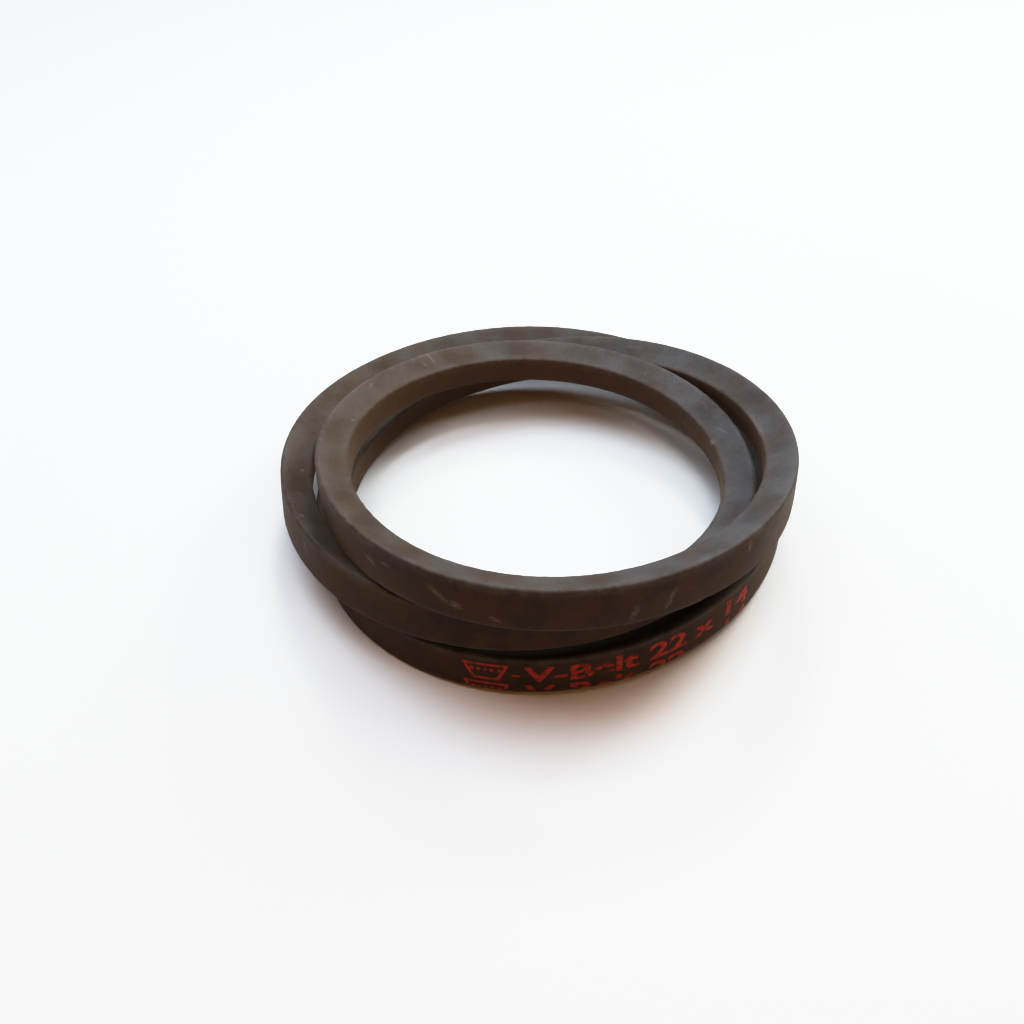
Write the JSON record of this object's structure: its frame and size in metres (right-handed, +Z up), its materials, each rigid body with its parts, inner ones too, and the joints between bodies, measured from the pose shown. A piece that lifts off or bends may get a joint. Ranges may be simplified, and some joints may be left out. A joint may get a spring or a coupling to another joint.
{
  "type": "v-belt",
  "caption": "Endless wrapped V-belt of classical C section, 22 mm wide and 14 mm high, coiled into three loops and lying flat for storage.",
  "frame": {"origin": "centre of the coil's bounding box, on the surface that it lies on", "axes": "+Z up out of the table, along the coil's axis; -Y towards the side where the three strands stand on top of each other; +X to the right of it"},
  "size_m": [0.238, 0.2446, 0.0749],
  "materials": {
    "cover_fabric": "matt rubberised cotton-polyester cover fabric, dark brown, worn, with a grey sheen",
    "inner_fabric": "matt rubberised fabric",
    "tension_rubber": "matt black rubber",
    "gum_rubber": "satin dark brown adhesion rubber",
    "compression_rubber": "matt black rubber",
    "polyester_cord": "twisted polyester cord, dipped, pale tan"
  },
  "bodies": {
    "root": {"outer_cover_ply": "cover_fabric", "inner_cover_ply": "inner_fabric", "tension_rubber": "tension_rubber", "upper_adhesion_gum": "gum_rubber", "lower_adhesion_gum": "gum_rubber", "compression_rubber": "compression_rubber", "tensile_cord_turn_01": "polyester_cord", "tensile_cord_turn_02": "polyester_cord", "tensile_cord_turn_03": "polyester_cord", "tensile_cord_turn_04": "polyester_cord", "tensile_cord_turn_05": "polyester_cord", "tensile_cord_turn_06": "polyester_cord", "tensile_cord_turn_07": "polyester_cord", "tensile_cord_turn_08": "polyester_cord", "tensile_cord_turn_09": "polyester_cord"}
  },
  "joints": []
}
